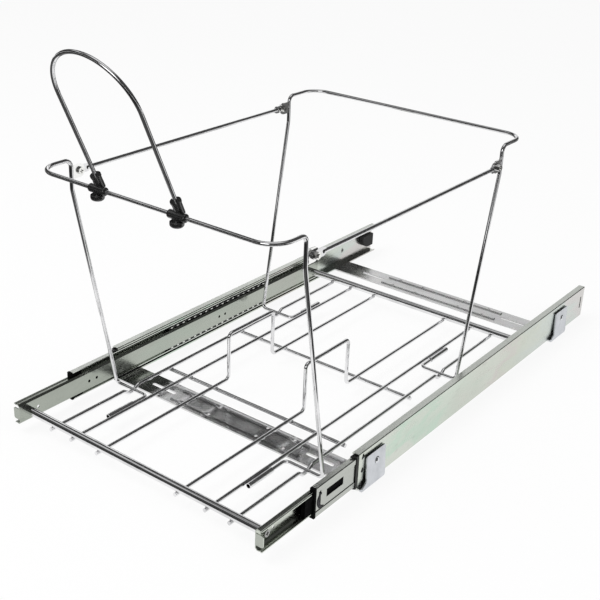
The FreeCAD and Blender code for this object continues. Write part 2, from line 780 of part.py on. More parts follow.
def cross_member(name, setback):
    body = new_body(name)
    plate_face = half_width + dim.bracket_gap
    reach = plate_face + dim.bracket_gauge
    width = dim.strip_width
    middle = width / 2
    floor = sketch_on(body, "XY_Plane")
    draw_box(floor, -reach, reach, 0, width)
    pad(body, floor, dim.strip_gauge)
    plate_low = dim.bracket_shift
    plate_high = dim.bracket_shift + width
    lobe = dim.strip_gauge * 4
    for side in (-1, 1):
        plate = sketch_on(body, "YZ_Plane", side * plate_face)
        draw_polygon(plate, [
            (0, 0),
            (plate_high, 0),
            (plate_high, dim.bracket_height),
            (plate_low, dim.bracket_height),
            (plate_low, lobe),
            (0, lobe / 2),
        ])
        pad(body, plate, dim.bracket_gauge, reverse=side < 0)
    corner_radius = dim.bend_radius * 2.5
    fillet(body, corner_radius, lambda edge: is_line_along(edge, AXIS_X)
           and (near(edge.Vertexes[0].Y, plate_high) or edge.Vertexes[0].Z > float(lobe) / 4)
           and edge.Length < float(dim.bracket_gauge) * 1.01)
    beads = sketch_on(body, "YZ_Plane")
    for sign in (-1, 1):
        line = middle + sign * dim.bead_spacing / 2
        draw_ridge(beads, line, dim.bead_width, dim.bead_width / 2,
                   dim.strip_gauge / 2, dim.strip_gauge + dim.bead_height)
    pad(body, beads, 2 * dim.bead_reach, both_ways=True)
    openings = sketch_on(body, "XY_Plane")
    for side in (-1, 1):
        draw_slot(openings, side * dim.floor_slot_reach, middle,
                  dim.floor_slot_length, dim.floor_slot_width)
        for along in (dim.near_floor_hole, dim.far_floor_hole):
            for sign in (-1, 1):
                draw_circle(openings, side * along, middle + sign * dim.bead_spacing / 2,
                            dim.floor_hole)
    cut_through(body, openings)
    boss_y = dim.bracket_shift + dim.dimple_setback
    for side in (-1, 1):
        boss = sketch_on(body, "YZ_Plane", side * half_width)
        draw_circle(boss, boss_y, dim.dimple_height, dim.dimple_width)
        pad(body, boss, dim.bracket_gap, reverse=side < 0)
        hollow = sketch_on(body, "YZ_Plane", side * reach)
        draw_circle(hollow, boss_y, dim.dimple_height, dim.dimple_width - 2 * dim.bracket_gauge)
        cut_depth(body, hollow, dim.bracket_gap, reverse=side < 0)
    return node(name, place(body, 0, setback, 0))


def cross_members():
    cross_member("cross_member_front", dim.front_strip_setback)
    cross_member("cross_member_rear", dim.outer_length - dim.rear_strip_setback)


# Tray

def tray_bar(name, y):
    """A bar between the inner members, with a screw hole in each end."""
    bar = rod(f"{name}_bar", dim.bar_diameter, 2 * tray_half, AXIS_X)
    place(bar, -tray_half, y, slide_middle)
    depth = dim.bar_screw_length
    holes = []
    for start in (-tray_half, tray_half - depth):
        hole = rod(f"{name}_hole", dim.bar_screw + dim.weld_gap, depth, AXIS_X)
        holes.append(place(hole, start, y, slide_middle))
    both = fuse(f"{name}_holes", holes)
    return node(name, cut(name, bar, both))


def screw(name, x, y, z, side, shank, length):
    """A cross-slotted screw whose head's underside is at x and whose shank runs inward."""
    head = rod(f"{name}_head", dim.screw_head, dim.head_height, AXIS_X * side)
    place(head, x, y, z)
    stem = rod(f"{name}_stem", shank, length + dim.head_height / 2, AXIS_X * -side)
    place(stem, x + side * dim.head_height / 2, y, z)
    slot_length = dim.screw_head * 0.6
    slot_width = dim.screw_head * 0.15
    slots = []
    for along_y, along_z in ((slot_length, slot_width), (slot_width, slot_length)):
        slot = doc.addObject("Part::Box", f"{name}_slot")
        bind(slot, "Length", 2 * dim.recess_drive)
        bind(slot, "Width", along_y)
        bind(slot, "Height", along_z)
        place(slot, x + side * dim.head_height - dim.recess_drive,
              y - along_y / 2, z - along_z / 2)
        slots.append(slot)
    return cut(name, fuse(f"{name}_blank", [head, stem]), fuse(f"{name}_cross", slots))


def bar_screws():
    screws = []
    under_head = tray_half + dim.member_gauge
    for side in (-1, 1):
        for y in (front_bar_y, rear_bar_y):
            screws.append(screw("bar_screw", side * under_head, y, slide_middle, side,
                                dim.bar_screw, dim.bar_screw_length))
    return node("tray_bar_screws", group("tray_bar_screws", screws))


def straight_wire(name, x):
    wire = rod(name, dim.wire_diameter, rear_bar_y - front_bar_y + dim.wire_stub, AXIS_Y)
    return node(name, place(wire, x, front_bar_y - dim.wire_stub, wire_z))


def saddled_wire(name, x):
    """A tray wire that dips under each foot of the bin frame."""
    low = wire_z - dim.saddle_depth
    corners = [point(x, front_bar_y - dim.wire_stub, wire_z)]
    for foot_y in (front_foot_y, rear_foot_y):
        corners += [
            point(x, foot_y - dim.saddle_mouth / 2, wire_z),
            point(x, foot_y - dim.saddle_floor / 2, low),
            point(x, foot_y + dim.saddle_floor / 2, low),
            point(x, foot_y + dim.saddle_mouth / 2, wire_z),
        ]
    corners.append(point(x, rear_bar_y, wire_z))
    radii = [float(dim.saddle_bend)] * (len(corners) - 2)
    return node(name, bent_wire(name, corners, radii, dim.wire_diameter))


def humped_wire(name, x):
    """A tray wire with a square hump that keeps the bin in place."""
    front = front_bar_y + dim.hump_front
    rear = front + dim.hump_length
    top = wire_z + dim.hump_rise
    corners = [
        point(x, front_bar_y - dim.wire_stub, wire_z),
        point(x, front, wire_z),
        point(x, front, top),
        point(x, rear, top),
        point(x, rear, wire_z),
        point(x, rear_bar_y, wire_z),
    ]
    radii = [float(dim.hump_bend)] * (len(corners) - 2)
    return node(name, bent_wire(name, corners, radii, dim.wire_diameter))


def cross_wire(name, y):
    wire = rod(name, dim.cross_wire_diameter, 2 * dim.cross_wire_reach, AXIS_X)
    return node(name, place(wire, -dim.cross_wire_reach, y, cross_wire_z))


def tray():
    tray_bar("tray_bar_front", front_bar_y)
    tray_bar("tray_bar_rear", rear_bar_y)
    bar_screws()
    for label, side in (("left", -1), ("right", 1)):
        saddled_wire(f"tray_wire_outer_{label}", side * dim.outer_column)
        straight_wire(f"tray_wire_mid_{label}", side * dim.mid_column)
        humped_wire(f"tray_wire_inner_{label}", side * dim.inner_column)
    cross_wire("tray_cross_wire_front", front_bar_y + dim.front_cross_wire)
    cross_wire("tray_cross_wire_rear", front_bar_y + dim.rear_cross_wire)


# Bin frame

def frame_loop(name, rim_y, leg_y, foot_y, way):
    """One wire: toe, foot, leg, rim and back; way is -1 at the front and 1 at the rear."""
    toe_y = foot_y + way * dim.toe_length
    kink_z = dim.rim_height - dim.kink_drop
    half = [
        point(dim.toe_reach, toe_y, foot_z),
        point(dim.toe_reach, foot_y, foot_z),
        point(dim.foot_reach, foot_y, foot_z),
        point(dim.rim_reach, leg_y, kink_z),
        point(dim.rim_reach, leg_y, dim.rim_height),
        point(dim.rim_reach, rim_y, dim.rim_height),
    ]
    other = [Vector(-corner.x, corner.y, corner.z) for corner in reversed(half)]
    bends = [float(bend) for bend in (
        dim.foot_bend, dim.foot_bend, dim.kink_bend, dim.shoulder_bend, dim.rim_corner)]
    return node(name, bent_wire(name, half + other, bends + bends[::-1], dim.wire_diameter))


def toe_sleeve(name, side, foot_y, way):
    """A tube over a toe, open past the wire's end."""
    toe_y = foot_y + way * (dim.toe_length + dim.sleeve_overhang)
    axis = AXIS_Y * -way
    outside = rod(f"{name}_outside", dim.sleeve_diameter, dim.sleeve_length, axis)
    place(outside, side * dim.toe_reach, toe_y, foot_z)
    bore = rod(f"{name}_bore", dim.sleeve_bore, dim.sleeve_length, axis)
    place(bore, side * dim.toe_reach, toe_y, foot_z)
    return node(name, cut(name, outside, bore))


def rail_height(side):
    if side < 0:
        return dim.rim_height - dim.left_rail_drop
    return dim.rim_height - dim.right_rail_drop


def pivot_tab(name, side, leg_y, pivot_y, way):
    """A plate welded to a leg that the side rail is screwed to."""
    body = new_body(f"{name}_plate")
    outline = sketch_on(body, "YZ_Plane")
    start = dim.wire_diameter / 2 + dim.weld_gap
    half = dim.tab_height / 2
    if way < 0:
        draw_box(outline, start, dim.tab_reach, -half, half)
    else:
        draw_box(outline, -dim.tab_reach, -start, -half, half)
    pad(body, outline, dim.tab_gauge, both_ways=True)
    corner_radius = dim.tab_height * 0.4
    fillet(body, corner_radius, lambda edge: is_line_along(edge, AXIS_X)
           and near(abs(edge.Vertexes[0].Y), dim.tab_reach))
    hole = sketch_on(body, "YZ_Plane")
    draw_circle(hole, pivot_y - leg_y, 0, dim.pivot_screw + 2 * dim.screw_play)
    cut_through(body, hole)
    return place(body, side * dim.rim_reach, leg_y, rail_height(side))


def frame_tabs(name, leg_y, pivot_y, way):
    tabs = [pivot_tab(name, side, leg_y, pivot_y, way) for side in (-1, 1)]
    return node(name, group(name, tabs))


def side_rail(name, side):
    """A wire with a flat, drilled eye at each end."""
    z = rail_height(side)
    x = side * rail_x
    length = rear_pivot_y - front_pivot_y
    bar = rod(f"{name}_wire", dim.wire_diameter, length - 2 * dim.eye_length, AXIS_Y)
    place(bar, x, front_pivot_y + dim.eye_length, z)
    ends = new_body(f"{name}_ends")
    outline = sketch_on(ends, "YZ_Plane")
    overlap = dim.eye_width
    for y in (dim.eye_length / 2, length - dim.eye_length / 2):
        draw_slot(outline, y, 0, dim.eye_length + overlap, dim.eye_width)
    plates = pad(ends, outline, dim.tab_gauge, both_ways=True)
    plates.Refine = True
    holes = sketch_on(ends, "YZ_Plane")
    for y in (as_size(0), length):
        draw_circle(holes, y, 0, dim.pivot_screw + 2 * dim.screw_play)
    cut_through(ends, holes)
    place(ends, x, front_pivot_y, z)
    return node(name, fuse(name, [bar, ends]))


def pivot_screws():
    screws = []
    length = 2 * dim.tab_gauge + dim.nut_height + dim.head_height / 2
    for side in (-1, 1):
        for y in (front_pivot_y, rear_pivot_y):
            x = side * (dim.rim_reach - dim.tab_gauge / 2)
            screws.append(screw("pivot_screw", x, y, rail_height(side), -side,
                                dim.pivot_screw, length))
    return node("rail_screws", group("rail_screws", screws))


def pivot_nuts():
    nuts = []
    for side in (-1, 1):
        for y in (front_pivot_y, rear_pivot_y):
            blank = doc.addObject("Part::Prism", "nut_blank")
            blank.Polygon = 6
            bind(blank, "Circumradius", dim.nut_width / math.sqrt(3))
            bind(blank, "Height", dim.nut_height)
            blank.Placement.Rotation = Rotation(AXIS_Z, AXIS_X * side)
            x = side * (rail_x + dim.tab_gauge / 2)
            place(blank, x, y, rail_height(side))
            bore = rod("nut_bore", dim.pivot_screw + dim.weld_gap, dim.nut_height,
                       AXIS_X * side)
            place(bore, x, y, rail_height(side))
            nuts.append(cut("nut", blank, bore))
    return node("rail_nuts", group("rail_nuts", nuts))


def bin_frame():
    frame_loop("bin_frame_front", -dim.rim_front, front_leg_y, front_foot_y, -1)
    frame_loop("bin_frame_rear", dim.rim_rear, rear_leg_y, rear_foot_y, 1)
    frame_tabs("bin_frame_tabs_front", front_leg_y, front_pivot_y, -1)
    frame_tabs("bin_frame_tabs_rear", rear_leg_y, rear_pivot_y, 1)
    for label, side in (("left", -1), ("right", 1)):
        toe_sleeve(f"toe_sleeve_front_{label}", side, front_foot_y, -1)
        toe_sleeve(f"toe_sleeve_rear_{label}", side, rear_foot_y, 1)
        side_rail(f"side_rail_{label}", side)
    pivot_screws()
    pivot_nuts()


# Handle: an arch in two plastic clips that turn on the rim's front wire

def lean(behind, along):
    """From the rim's front wire: so far behind the handle's plane and so far along it."""
    tilt = math.radians(HANDLE_TILT)
    y = float(behind) * math.cos(tilt) - float(along) * math.sin(tilt)
    z = float(behind) * math.sin(tilt) + float(along) * math.cos(tilt)
    return Vector(0, y, z)


def on_handle(x, behind, along):
    return point(x, -dim.rim_front, dim.rim_height) + lean(behind, along)


def handle():
    half = dim.handle_width / 2
    left = -dim.handle_shift - half
    right = -dim.handle_shift + half
    bend = float(half) - 0.01
    top = dim.handle_leg + half
    corners = [
        on_handle(left, dim.handle_offset, dim.handle_seat),
        on_handle(left, dim.handle_offset, top),
        on_handle(right, dim.handle_offset, top),
        on_handle(right, dim.handle_offset, dim.handle_seat),
    ]
    return node("handle", bent_wire("handle", corners, [bend, bend], dim.handle_wire))


def round_part(body, kind, diameter, height, start, axis):
    """Add or take away a cylinder that runs from start along the axis."""
    part = body.newObject(f"PartDesign::{kind}Cylinder", kind)
    bind(part, "Radius", as_size(diameter) / 2)
    bind(part, "Height", height)
    part.Placement = Placement(start, Rotation(AXIS_Z, axis))
    doc.recompute()
    return part


def handle_clip(name, x):
    """Drawn from the rim's line: the knob hangs straight down, the sleeve leans with the leg."""
    body = new_body(name)
    leg_axis = lean(0, 1)
    knob_y = -dim.knob_lead
    knob_low = -dim.knob_drop - dim.knob_height
    round_part(body, "Additive", dim.knob_diameter, dim.knob_height,
               point(0, knob_y, knob_low), AXIS_Z)
    knob_round = dim.knob_height * 0.55
    fillet(body, knob_round, lambda edge: near(edge.BoundBox.ZMax, knob_low))
    edge_round = dim.knob_height * 0.15
    fillet(body, edge_round, lambda edge: near(edge.BoundBox.ZMin, -dim.knob_drop))
    neck_height = dim.knob_drop + dim.knob_height / 2
    round_part(body, "Additive", dim.neck_diameter, neck_height,
               point(0, knob_y, -neck_height), AXIS_Z)
    round_part(body, "Additive", dim.clip_sleeve, dim.clip_height,
               lean(dim.handle_offset, 0), leg_axis)
    collar_height = dim.clip_height / 7
    round_part(body, "Additive", dim.clip_collar, collar_height,
               lean(dim.handle_offset, dim.clip_height - collar_height), leg_axis)
    barrel_start = point(-dim.clip_width / 2, 0, 0)
    round_part(body, "Additive", dim.clip_barrel, dim.clip_width, barrel_start, AXIS_X)
    barrel_round = dim.clip_barrel * 0.22
    fillet(body, barrel_round, lambda edge: near(abs(edge.BoundBox.XMax), dim.clip_width / 2)
           and near(abs(edge.BoundBox.XMin), dim.clip_width / 2))
    round_part(body, "Subtractive", dim.handle_wire + dim.weld_gap, dim.clip_height,
               lean(dim.handle_offset, dim.handle_seat), leg_axis)
    round_part(body, "Subtractive", dim.wire_diameter + 2 * dim.clip_play, dim.clip_width,
               barrel_start, AXIS_X)
    return node(name, place(body, x, -dim.rim_front, dim.rim_height))


def handle_set():
    handle()
    half = dim.handle_width / 2
    handle_clip("handle_clip_left", -dim.handle_shift - half)
    handle_clip("handle_clip_right", -dim.handle_shift + half)


def check_and_write():
    """Stop on any failed object or bad shape, then write one file for each node."""
    doc.recompute()
    for item in doc.Objects:
        if {"Invalid", "Error"} & set(item.State):
            raise RuntimeError(f"{item.Name} failed: {item.State}")
    for piece in nodes:
        if piece.Shape.isNull() or not piece.Shape.isValid() or not piece.Shape.Solids:
            raise RuntimeError(f"{piece.Label} has no valid solid")
    os.makedirs("parts", exist_ok=True)
    for piece in nodes:
        piece.Shape.exportStep(f"parts/{piece.Label}.step")
        box = piece.Shape.BoundBox
        print(f"{piece.Label}: {len(piece.Shape.Solids)} solid(s), {piece.Shape.Volume:.0f} mm3, "
              f"x {box.XMin:.1f}..{box.XMax:.1f} y {box.YMin:.1f}..{box.YMax:.1f} "
              f"z {box.ZMin:.1f}..{box.ZMax:.1f}")


slides()
cross_members()
tray()
bin_frame()
handle_set()
check_and_write()
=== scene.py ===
import math
import random

import bmesh
import bpy
from mathutils import Matrix, Vector


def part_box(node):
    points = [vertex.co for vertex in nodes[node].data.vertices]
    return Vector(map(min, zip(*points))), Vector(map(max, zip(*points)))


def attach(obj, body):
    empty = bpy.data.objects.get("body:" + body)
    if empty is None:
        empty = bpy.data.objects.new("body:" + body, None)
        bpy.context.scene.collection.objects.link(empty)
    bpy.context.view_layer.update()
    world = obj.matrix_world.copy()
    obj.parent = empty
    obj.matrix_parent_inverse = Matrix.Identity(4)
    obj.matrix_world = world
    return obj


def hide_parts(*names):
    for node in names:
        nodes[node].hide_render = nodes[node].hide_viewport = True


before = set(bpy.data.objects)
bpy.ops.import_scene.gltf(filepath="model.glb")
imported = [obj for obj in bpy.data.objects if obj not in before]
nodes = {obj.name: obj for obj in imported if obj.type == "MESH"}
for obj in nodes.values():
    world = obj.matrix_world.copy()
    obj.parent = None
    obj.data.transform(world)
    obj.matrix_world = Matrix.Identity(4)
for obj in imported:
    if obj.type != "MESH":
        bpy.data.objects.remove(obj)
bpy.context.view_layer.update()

SIDE_SIGNS = {"left": -1, "right": 1}
SIDES = tuple(SIDE_SIGNS)
ENDS = ("front", "rear")
WIRE_COLUMNS = ("outer", "mid", "inner")

# Where the camera stands and how it looks
CAMERA_PLACE = Vector((0.68597, -0.79752, 0.6645))
CAMERA_AZIMUTH = math.radians(126.37)
CAMERA_ELEVATION = math.radians(-25.18)
CAMERA_ROLL = math.radians(2.42)
CAMERA_LENS = 64.0
SENSOR_WIDTH = 36.0

# Lines of the slides that the materials and the small pieces share, in metres
SLIDE_MIDDLE_Z = 0.0245
OUTER_FACE_X = 0.1843
OUTER_INNER_X = 0.1831
MIDDLE_FACE_X = 0.1817
CAGE_PLATE_X = 0.1815
REAR_HOLE_Y = 0.489

# The bracket plates at the floor strips' ends. They start the setback behind the strip's front
# edge. Above their bend they lean in, up to the lean, and their front edge is shifted back.
BRACKET_FACE_X = 0.1870
BRACKET_BEND_Z = 0.0035
BRACKET_SETBACK = 0.006
BRACKET_LEAN = 0.0019
BRACKET_SHIFT = 0.0028

# The bin frame's feet: their underside, and how far in they stand from the toe tubes' ends
FOOT_UNDERSIDE = 0.01375
FOOT_STEP = 0.0235


def add_camera():
    """Turn the camera from its azimuth, elevation and roll."""
    level = math.cos(CAMERA_ELEVATION)
    look = Vector((level * math.cos(CAMERA_AZIMUTH), level * math.sin(CAMERA_AZIMUTH),
                   math.sin(CAMERA_ELEVATION)))
    side = look.cross(Vector((0, 0, 1))).normalized()
    up = side.cross(look)
    right = math.cos(CAMERA_ROLL) * side + math.sin(CAMERA_ROLL) * up
    above = math.cos(CAMERA_ROLL) * up - math.sin(CAMERA_ROLL) * side
    data = bpy.data.cameras.new("camera")
    data.lens = CAMERA_LENS
    data.sensor_width = SENSOR_WIDTH
    data.clip_start = 0.01
    data.clip_end = 100
    camera = bpy.data.objects.new("camera", data)
    turn = Matrix((right, above, -look)).transposed()
    camera.matrix_world = Matrix.Translation(CAMERA_PLACE) @ turn.to_4x4()
    bpy.context.scene.collection.objects.link(camera)
    bpy.context.scene.camera = camera


# Shaders

class Graph:
    """Short names for the nodes of one shader tree."""

    def __init__(self, tree):
        self.tree = tree
        tree.nodes.clear()

    def add(self, kind, **settings):
        item = self.tree.nodes.new(kind)
        for name, value in settings.items():
            setattr(item, name, value)
        return item

    def link(self, source, target):
        self.tree.links.new(source, target)

    def put(self, socket, value):
        """Link a socket to another, or set it to a number or a colour."""
        if isinstance(value, bpy.types.NodeSocket):
            self.link(value, socket)
        else:
            socket.default_value = value

    def place(self, scale=(1, 1, 1)):
        """The object's own coordinates in metres, stretched by scale."""
        source = self.add("ShaderNodeTexCoord")
        mapping = self.add("ShaderNodeMapping")
        mapping.inputs["Scale"].default_value = scale
        self.link(source.outputs["Object"], mapping.inputs["Vector"])
        return mapping.outputs["Vector"]

    def noise(self, scale, stretch=(1, 1, 1), *, detail, rough=0.55, warp=0.0):
        texture = self.add("ShaderNodeTexNoise")
        self.link(self.place(stretch), texture.inputs["Vector"])
        texture.inputs["Scale"].default_value = scale
        texture.inputs["Detail"].default_value = detail
        texture.inputs["Roughness"].default_value = rough
        texture.inputs["Distortion"].default_value = warp
        return texture.outputs["Fac"]

    def cells(self, scale):
        """Patches with a colour each."""
        texture = self.add("ShaderNodeTexVoronoi")
        self.link(self.place(), texture.inputs["Vector"])
        texture.inputs["Scale"].default_value = scale
        return texture.outputs["Color"]

    def ramp(self, fac, stops):
        """Stops are (position, grey or colour)."""
        item = self.add("ShaderNodeValToRGB")
        elements = item.color_ramp.elements
        while len(elements) < len(stops):
            elements.new(0.5)
        for element, (position, value) in zip(elements, stops):
            element.position = position
            colour = value if isinstance(value, tuple) else (value, value, value)
            element.color = (*colour, 1)
        self.link(fac, item.inputs["Fac"])
        return item.outputs["Color"]

    def spread(self, fac, low, high):
        """Turn a noise's middle range into low..high."""
        item = self.add("ShaderNodeMapRange")
        self.link(fac, item.inputs["Value"])
        item.inputs["From Min"].default_value = 0.3
        item.inputs["From Max"].default_value = 0.7
        item.inputs["To Min"].default_value = low
        item.inputs["To Max"].default_value = high
        return item.outputs["Result"]

    def mix(self, fac, first, second, blend="MIX"):
        """Mix two colours."""
        item = self.add("ShaderNodeMix", data_type="RGBA", blend_type=blend)
        self.put(item.inputs["Factor"], fac)
        self.put(item.inputs[6], first if not isinstance(first, tuple) else (*first, 1))
        self.put(item.inputs[7], second if not isinstance(second, tuple) else (*second, 1))
        return item.outputs[2]

    def choose(self, fac, first, second):
        """Mix two numbers: the first at nought, the second at one."""
        item = self.add("ShaderNodeMix")
        self.put(item.inputs[0], fac)
        self.put(item.inputs[2], first)
        self.put(item.inputs[3], second)
        return item.outputs[0]

    def math(self, operation, first, second=0.0):
        item = self.add("ShaderNodeMath", operation=operation)
        self.put(item.inputs[0], first)
        self.put(item.inputs[1], second)
        return item.outputs[0]

    def axis(self, name):
        """One of the object's coordinates, in metres."""
        split = self.add("ShaderNodeSeparateXYZ")
        self.link(self.place(), split.inputs[0])
        return split.outputs[name]

    def normal(self, name):
        """One part of the surface's own normal."""
        source = self.add("ShaderNodeNewGeometry")
        split = self.add("ShaderNodeSeparateXYZ")
        self.link(source.outputs["True Normal"], split.inputs[0])
        return split.outputs[name]

    def facing(self, name):
        """How far the surface's own normal points along an axis, either way."""
        return self.math("ABSOLUTE", self.normal(name))

    def reach(self, name, centre=0.0):
        """Distance from a plane across an axis, in metres."""
        return self.math("ABSOLUTE", self.math("SUBTRACT", self.axis(name), centre))

    def both(self, first, second):
        return self.math("MULTIPLY", first, second)

    def squared_distance(self, aside, above):
        return self.math("ADD", self.both(aside, aside), self.both(above, above))

    def fade(self, value, low, high):
        """Nought below low, one above high and smooth between; high may be the lower."""
        item = self.add("ShaderNodeMapRange", interpolation_type="SMOOTHSTEP")
        self.put(item.inputs["Value"], value)
        item.inputs["From Min"].default_value = low
        item.inputs["From Max"].default_value = high
        return item.outputs["Result"]

    def bump(self, height, strength, distance, normal=None):
        item = self.add("ShaderNodeBump")
        item.inputs["Strength"].default_value = strength
        item.inputs["Distance"].default_value = distance
        self.link(height, item.inputs["Height"])
        if normal is not None:
            self.link(normal, item.inputs["Normal"])
        return item.outputs["Normal"]


def new_material(name):
    """A material with an output node only; its shader is added by the caller."""
    material = bpy.data.materials.new(name)
    material.use_nodes = True
    graph = Graph(material.node_tree)
    output = graph.add("ShaderNodeOutputMaterial")
    return material, graph, output


def principled(name, metallic, roughness):
    """A material with one principled shader; its links are added by the caller."""
    material, graph, output = new_material(name)
    shader = graph.add("ShaderNodeBsdfPrincipled")
    graph.link(shader.outputs["BSDF"], output.inputs["Surface"])
    shader.inputs["Metallic"].default_value = metallic
    shader.inputs["Roughness"].default_value = roughness
    return material, graph, shader


# Materials

def zinc_sheet(name, pale, deep, tint_strength, roughness=(0.18, 0.30), outward_painted_light=1.0):
    """Rolled, zinc-plated sheet: faint colour play, rolling lines, scuffs and stains.

    A face that looks away from the rack's middle has its tone multiplied by the last argument:
    painted light above one, painted shade below one.
    """
    material, graph, shader = principled(name, 1.0, 0.3)
    broad = graph.noise(9, (1, 0.35, 1), detail=4, warp=0.8)
    base = graph.ramp(broad, [(0.3, deep), (0.62, pale)])
    drift = graph.noise(16, (0.6, 0.45, 1.5), detail=4, rough=0.6, warp=1.0)
    tint_ahead, tint_length, tint_wander = 0.2, 0.8, 0.55
    along = graph.math("DIVIDE", graph.math("ADD", graph.axis("Y"), tint_ahead), tint_length)
    wander = graph.math("MULTIPLY", graph.math("SUBTRACT", drift, 0.5), tint_wander)
    rainbow = graph.ramp(graph.math("ADD", along, wander), [
        (0.10, (0.98, 1.00, 0.96)),
        (0.34, (0.98, 1.00, 0.96)),
        (0.40, (0.82, 1.00, 0.89)),
        (0.46, (0.93, 1.00, 0.93)),
        (0.58, (0.99, 1.00, 0.95)),
        (0.64, (1.00, 0.92, 0.92)),
        (0.70, (0.98, 1.00, 0.92)),
        (0.88, (0.93, 0.98, 0.99)),
        (0.93, (1.00, 0.93, 0.97)),
    ])
    on_web = graph.math("GREATER_THAN", graph.facing("X"), 0.6)
    tinted = graph.mix(graph.both(on_web, tint_strength), base, rainbow, "MULTIPLY")
    stains = graph.ramp(graph.noise(150, (1, 0.5, 1), detail=4, rough=0.6),
                        [(0.60, 1.0), (0.74, 0.78)])
    colour = graph.mix(0.5, tinted, stains, "MULTIPLY")
    # Painted light and shade: faces that look away from the rack's middle take the outward
    # factor.
    outside = graph.math("GREATER_THAN", graph.both(graph.axis("X"), graph.normal("X")), 0.05)
    outward_painted_colour = graph.mix(1.0, colour, (outward_painted_light,) * 3, "MULTIPLY")
    graph.link(graph.mix(outside, colour, outward_painted_colour), shader.inputs["Base Color"])
    scuffs = graph.noise(60, (1, 0.4, 1), detail=5, rough=0.65)
    graph.link(graph.spread(scuffs, *roughness), shader.inputs["Roughness"])
    lines = graph.noise(1.0, (2600, 24, 2600), detail=2)
    rolled = graph.bump(lines, 0.05, 0.0004)
    waves = graph.noise(24, (1, 0.5, 1), detail=2)
    graph.link(graph.bump(waves, 0.10, 0.002, rolled), shader.inputs["Normal"])
    return material


def clinch_marks(graph, front):
    """The clinch on a bracket: masks for the painted shade in its arched cut and the painted
    highlight on the tongue inside it.
    """
    cut_along, cut_up, cut_radius = 0.0280, 0.0270, 0.0040
    tongue_along, tongue_up, tongue_radius = 0.0286, 0.0259, 0.0030
    cut_inner_radius = 0.0034

    def from_point(along, up):
        aside = graph.math("SUBTRACT", graph.axis("Y"), front + along)
        above = graph.math("SUBTRACT", graph.axis("Z"), up)
        return graph.math("SQRT", graph.squared_distance(aside, above))

    inner = from_point(tongue_along, tongue_up)
    cut = graph.both(graph.math("LESS_THAN", from_point(cut_along, cut_up), cut_radius),
                     graph.math("GREATER_THAN", inner, cut_inner_radius))
    return cut, graph.math("LESS_THAN", inner, tongue_radius)


def strip_zinc(name, front, tone, roughness, steep_roughness):
    """A floor strip: blotched and shiny where it lies flat, with dull bluish bracket plates.

    Front is the strip's front edge, and steep_roughness is for the slopes of its pressed lines.
    The plates' top edges and the clinch cuts are painted dark as shade, and the clinch tongues
    get a painted highlight.
    """
    material, graph, shader = principled(name, 1.0, 0.25)
    spangle = graph.cells(160)
    blotch = graph.noise(20, (0.4, 1, 1), detail=3, warp=0.6)
    base = graph.ramp(blotch, [(0.34, (tone * 0.81,) * 3), (0.62, (tone,) * 3)])
    grains = graph.mix(0.05, base, spangle, "SOFT_LIGHT")
    cloud = graph.noise(70, (1, 1, 0.6), detail=4, rough=0.6)
    plate = graph.ramp(cloud, [(0.34, (0.58, 0.60, 0.63)), (0.64, (0.70, 0.72, 0.75))])
    clear_of_slide, plate_foot = 0.0006, 0.020
    on_plate = graph.math("GREATER_THAN", graph.reach("X"), OUTER_FACE_X + clear_of_slide)
    # The plates' top edges are painted dark, as painted shade for the gap between plate and web.
    painted_edge_shade = graph.both(graph.math("GREATER_THAN", graph.facing("Z"), 0.6),
                          graph.math("GREATER_THAN", graph.axis("Z"), plate_foot))
    painted_cut_shade, tongue = clinch_marks(graph, front)
    # Painted highlight on the clinch's tongue.
    plate = graph.mix(graph.both(tongue, 0.6), plate, (0.95, 0.96, 0.97))
    # Painted shade, near black, on the plates' top edges and in the clinch's cut.
    dark = graph.math("MAXIMUM", painted_edge_shade, painted_cut_shade)
    plate = graph.mix(dark, plate, (0.030, 0.034, 0.030))
    graph.link(graph.mix(on_plate, grains, plate), shader.inputs["Base Color"])
    flat_shine = graph.spread(graph.noise(40, detail=5), *roughness)
    steep = graph.math("LESS_THAN", graph.facing("Z"), 0.95)
    shine = graph.choose(steep, flat_shine, steep_roughness)
    dull = graph.spread(graph.noise(60, detail=5), 0.34, 0.48)
    graph.link(graph.choose(on_plate, shine, dull), shader.inputs["Roughness"])
    dents = graph.bump(graph.noise(26, (0.4, 1, 1), detail=2), 0.12, 0.002)
    graph.link(graph.bump(graph.noise(260, detail=2), 0.05, 0.0006, dents),
               shader.inputs["Normal"])
    return material


def chrome_wire(name, tone=0.82, roughness=(0.04, 0.11)):
    """Bright plated wire with duller patches and a faint ripple."""
    material, graph, shader = principled(name, 1.0, 0.1)
    patches = graph.noise(38, detail=4, rough=0.6)
    base = graph.ramp(patches, [
        (0.34, (tone * 0.82, tone * 0.82, tone * 0.83)),
        (0.60, (tone, tone, tone * 1.01)),
    ])
    graph.link(base, shader.inputs["Base Color"])
    graph.link(graph.spread(graph.noise(70, detail=4), *roughness), shader.inputs["Roughness"])
    ripple = graph.bump(graph.noise(60, detail=2), 0.02, 0.0008)
    graph.link(ripple, shader.inputs["Normal"])
    return material, graph, shader, base


def toe_tube():
    """The toes' bright tubes, with painted shade in their bore."""
    bore_radius = 0.0025
    material, graph, shader, base = chrome_wire("sleeve_chrome", 0.84, (0.08, 0.18))
    toe = centre_of("toe_sleeve_front_right")
    aside = graph.math("SUBTRACT", graph.reach("X"), toe.x)
    above = graph.math("SUBTRACT", graph.axis("Z"), toe.z)
    # Inside the bore is painted near black, as painted shade.
    bore = graph.math("LESS_THAN", graph.squared_distance(aside, above), bore_radius ** 2)
    graph.link(graph.mix(bore, base, (0.02, 0.02, 0.02)), shader.inputs["Base Color"])
    return material


